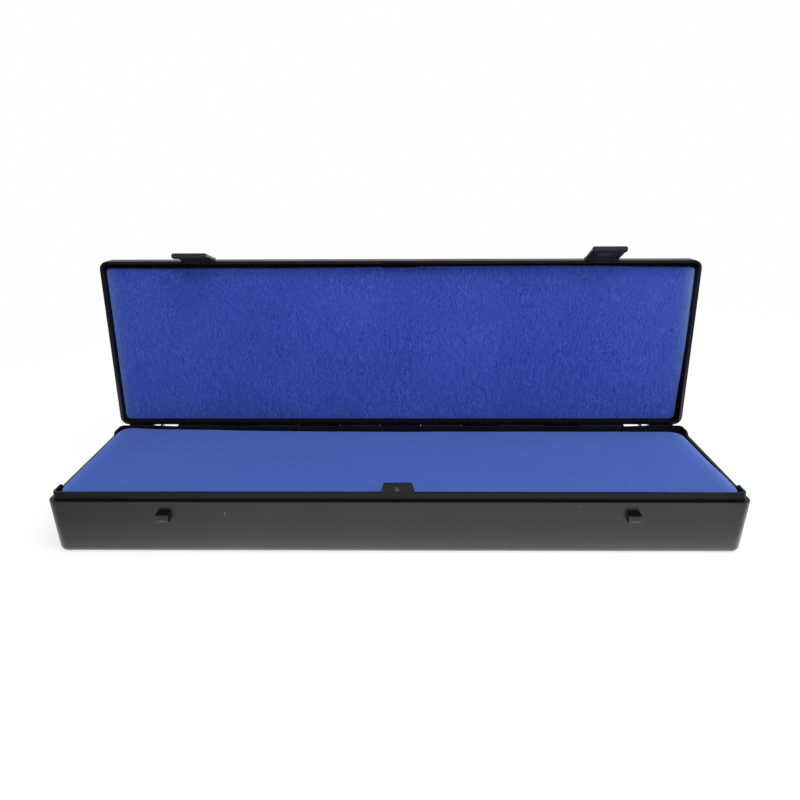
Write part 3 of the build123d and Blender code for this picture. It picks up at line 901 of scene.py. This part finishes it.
# %% [markdown]
# ## Lid pad
# The thin pad is glued in the lid. It is modelled lying flat, face up, with the
# lid's front edge at +Y, and then swung to the open lid by one matrix, since every
# move is plainer along the axes than along a leaning lid. The tray's tab has pressed
# a lasting dent into the front edge's middle. The front edge is rolled, and the hand
# that cut the pad left it a little bowed and wavy, and its right end a little
# slanting.

# %% Lid pad
PAD_SEAT = 46.7 * MM
PAD_HALF = Vector((207.38, 58.88, 0)) * MM
PAD_THICK = 6.2 * MM
LID_PAD_LEAN = 0.37 * MM
LID_PAD_CORNERS = (3.8 * MM, 2.5 * MM)
LID_PAD_ROUND = 0.5 * MM
LID_RIPPLE, LID_RIPPLE_SIZE = 0.5 * MM, 50 * MM
TAB_HALF = 10.9 * MM
TAB_NOTCH = 3.9 * MM
TAB_NOTCH_TURN = 4 * MM
DENT_MM = 2.2
DENT_HALF = 50 * MM
DENT_REACH = 9 * MM
ROLL_MM = 1.2
ROLL_REACH = 16 * MM
BROAD_FROM, BROAD_TO = 130 * MM, 180 * MM
FRONT_GAP = 3.5 * MM
FRONT_BOW = 0.45 * MM
FRONT_WAVE = 0.75 * MM
FRONT_REACH = 20 * MM
SLANT = 1.8 * MM
SLANT_WIDTH = 60 * MM
SLANT_END = 10 * MM

lid_low = Vector((-PAD_HALF.x, -PAD_HALF.y, 0))
lid_high = Vector((PAD_HALF.x, PAD_HALF.y, PAD_THICK))
lid_pad = foam_slab("lid_pad", lid_low, lid_high, LID_PAD_LEAN, LID_PAD_CORNERS, LID_PAD_ROUND)
# Painted sheen along the short ends, partly painted light against the shade near the lower corners;
# on the right it grows toward the lid's top edge.
paint_end_sheen(lid_pad, lid_low, lid_high, left=0.5, right=1.5, growing=(-75 * MM, 50 * MM))
ripple(lid_pad, lid_high, LID_RIPPLE, LID_RIPPLE_SIZE)
for point in lid_pad.data.vertices:
    from_front = PAD_HALF.y - point.co.y
    middle = 1 - ramp(abs(point.co.x), TAB_HALF, DENT_HALF)
    broad = 1 - ramp(abs(point.co.x), BROAD_FROM, BROAD_TO)
    notch = 1 - ramp(abs(point.co.x), TAB_HALF, TAB_HALF + TAB_NOTCH_TURN)
    if point.co.z > PAD_THICK / 2:
        dent = DENT_MM * middle * (1 - ramp(from_front, 0, DENT_REACH))
        roll = ROLL_MM * broad * (1 - ramp(from_front, 0, ROLL_REACH))
        point.co.z -= (dent + roll) * MM
    inward = FRONT_GAP - FRONT_BOW * broad
    inward += (TAB_NOTCH - inward) * notch
    inward -= FRONT_WAVE * sin(pi * point.co.x / PAD_HALF.x)
    point.co.y -= inward * (1 - ramp(from_front, 0, FRONT_REACH))
    right_end = ramp(point.co.x, PAD_HALF.x - SLANT_WIDTH, PAD_HALF.x)
    point.co.x -= SLANT * right_end * (1 - ramp(point.co.y, -PAD_HALF.y, SLANT_END))

hinge = next(joint for joint in frame["joints"] if joint["name"] == "lid_hinge")
hinge_place = Vector(hinge["pos_m"])
lid_open = hinge["range_deg"][1]
lid_pad.matrix_world = (
    Matrix.Translation(hinge_place)
    @ Matrix.Rotation(radians(-lid_open), 4, "X")
    @ Matrix.Translation(-hinge_place)
    @ Matrix.Translation((0, 0, PAD_SEAT))
    @ Matrix.Rotation(radians(180), 4, "X")
)
select_only(lid_pad)
bpy.ops.object.transform_apply(location=True, rotation=True, scale=True)
finish_pad(lid_pad, "lid_foam", "lid", rough_foam)
top = max(point.co.z for point in lid_pad.data.vertices)
print("lid pad stands", round(top / MM, 1), "mm high")

# %% [markdown]
# ## Sizes
# The finish must not change the case's size, so its box is kept beside the solid
# model's box.

# %% Write the sizes
dressed_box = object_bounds()
for name, box in (("model", model_box), ("dressed", dressed_box)):
    print(name, [round((high - low) / MM, 1) for low, high in zip(*box)])
